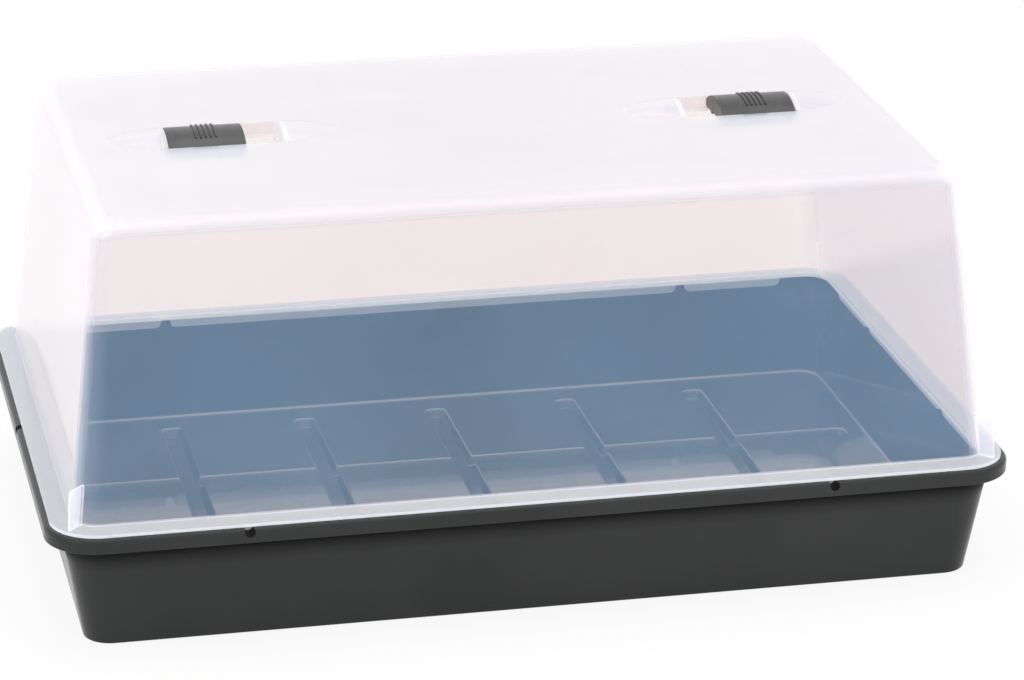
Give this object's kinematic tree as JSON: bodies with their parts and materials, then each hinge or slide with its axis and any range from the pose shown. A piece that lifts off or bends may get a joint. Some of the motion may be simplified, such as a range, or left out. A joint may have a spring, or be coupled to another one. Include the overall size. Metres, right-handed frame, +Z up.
{
  "type": "seed propagator",
  "caption": "Moulded plant-raising tray with a lipped rim, a lift-off clear dome lid and sliding vent shutters in the lid's top.",
  "frame": {"origin": "middle of the tray's footprint, on the surface that the tray stands on", "axes": "+X along the long sides to the right, +Y to the back, +Z up; the pictured long side faces -Y"},
  "size_m": [0.58, 0.378, 0.2585],
  "materials": {
    "tray_plastic": "satin moulded, near black",
    "lid_plastic": "clear, slightly milky",
    "shutter_plastic": "satin moulded, dark grey"
  },
  "bodies": {
    "tray": {"base_tray": "tray_plastic"},
    "lid": {"dome_lid": "lid_plastic"},
    "left_shutter": {"vent_shutter_left": "shutter_plastic"},
    "right_shutter": {"vent_shutter_right": "shutter_plastic"}
  },
  "joints": [
    {"name": "lid_lift", "type": "slide", "parent": "tray", "child": "lid", "axis": [0, 0, 1], "range_m": [0, 0.1]},
    {"name": "left_vent_slide", "type": "slide", "parent": "lid", "child": "left_shutter", "axis": [1, 0, 0], "range_m": [0, 0.0225]},
    {"name": "right_vent_slide", "type": "slide", "parent": "lid", "child": "right_shutter", "axis": [-1, 0, 0], "range_m": [0, 0.0225]}
  ]
}
